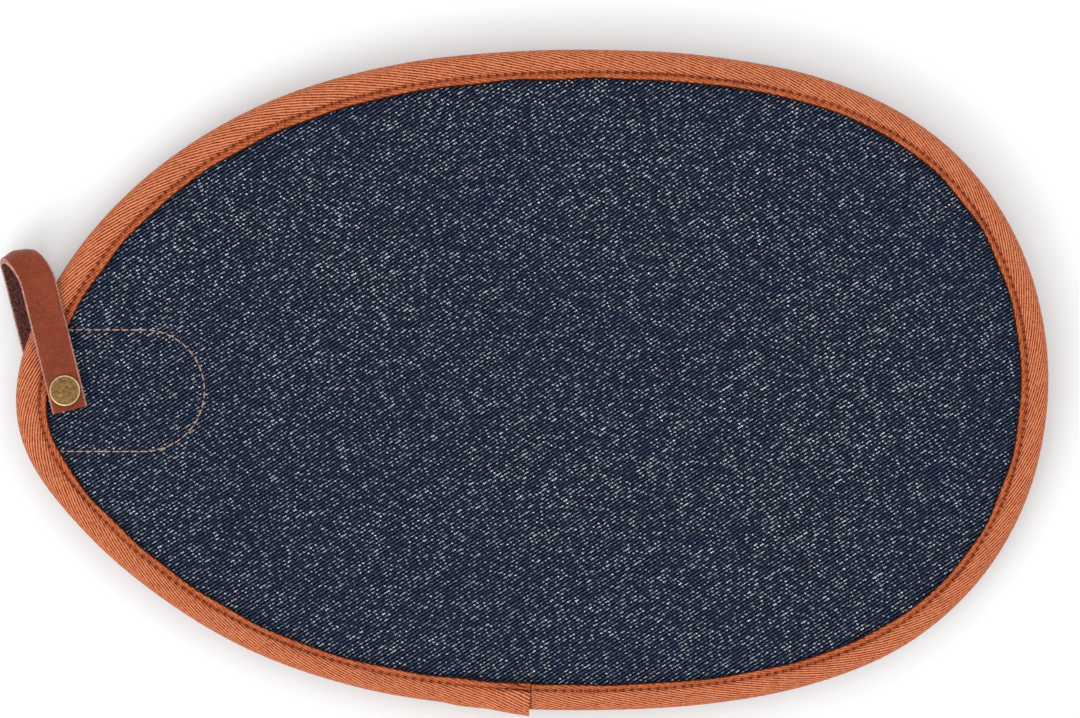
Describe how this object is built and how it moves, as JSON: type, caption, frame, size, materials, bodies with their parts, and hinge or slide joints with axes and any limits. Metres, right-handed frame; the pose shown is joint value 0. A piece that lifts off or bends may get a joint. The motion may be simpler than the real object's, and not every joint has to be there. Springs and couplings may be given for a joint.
{
  "type": "oven mitt",
  "caption": "Egg-shaped denim pinch mitt: quilted palm wall, finger and thumb pockets on its reverse, bound rim and riveted leather hanging loop.",
  "frame": {"origin": "on the resting plane, under the middle of the mitt's outline", "axes": "+X towards the finger end, +Z out of the gripping face, +Y to the side on which the hanging strap points at rest"},
  "size_m": [0.3409, 0.2181, 0.0225],
  "materials": {
    "denim": "dark indigo twill denim, matt",
    "wadding": "needled cotton wadding, undyed",
    "lining": "dark cotton twill, matt",
    "binding_tape": "rust cotton twill tape, matt",
    "thread": "rust-brown sewing thread",
    "patch_thread": "tan sewing thread",
    "leather": "red-brown vegetable-tanned leather, satin",
    "brass": "antique brass, brushed"
  },
  "bodies": {
    "finger_half": {"face_panel_fingers": "denim", "palm_wadding_fingers": "wadding", "palm_lining_fingers": "lining", "finger_pocket_denim": "denim", "finger_pocket_wadding": "wadding", "finger_pocket_lining": "lining", "finger_mouth_binding": "binding_tape", "finger_mouth_stitching": "thread", "edge_binding_fingers": "binding_tape", "binding_lap": "binding_tape", "edge_stitching_fingers": "thread"},
    "thumb_half": {"face_panel_thumb": "denim", "palm_wadding_thumb": "wadding", "palm_lining_thumb": "lining", "thumb_pocket_denim": "denim", "thumb_pocket_wadding": "wadding", "thumb_pocket_lining": "lining", "thumb_mouth_binding": "binding_tape", "thumb_mouth_stitching": "thread", "edge_binding_thumb": "binding_tape", "edge_stitching_thumb": "thread", "leather_patch": "leather", "patch_stitching": "patch_thread", "rivet_cap": "brass", "rivet_base": "brass"},
    "strap": {"hanging_strap": "leather"}
  },
  "joints": [
    {"name": "mitt_fold", "type": "hinge", "parent": "finger_half", "child": "thumb_half", "pos_m": [-0.03, 0, 0.0186], "axis": [0, 1, 0], "range_deg": [0, 150]},
    {"name": "loop_swivel", "type": "hinge", "parent": "thumb_half", "child": "strap", "pos_m": [-0.1534, -0.0035, 0], "axis": [0, 0, 1], "range_deg": [-8, 150]}
  ]
}
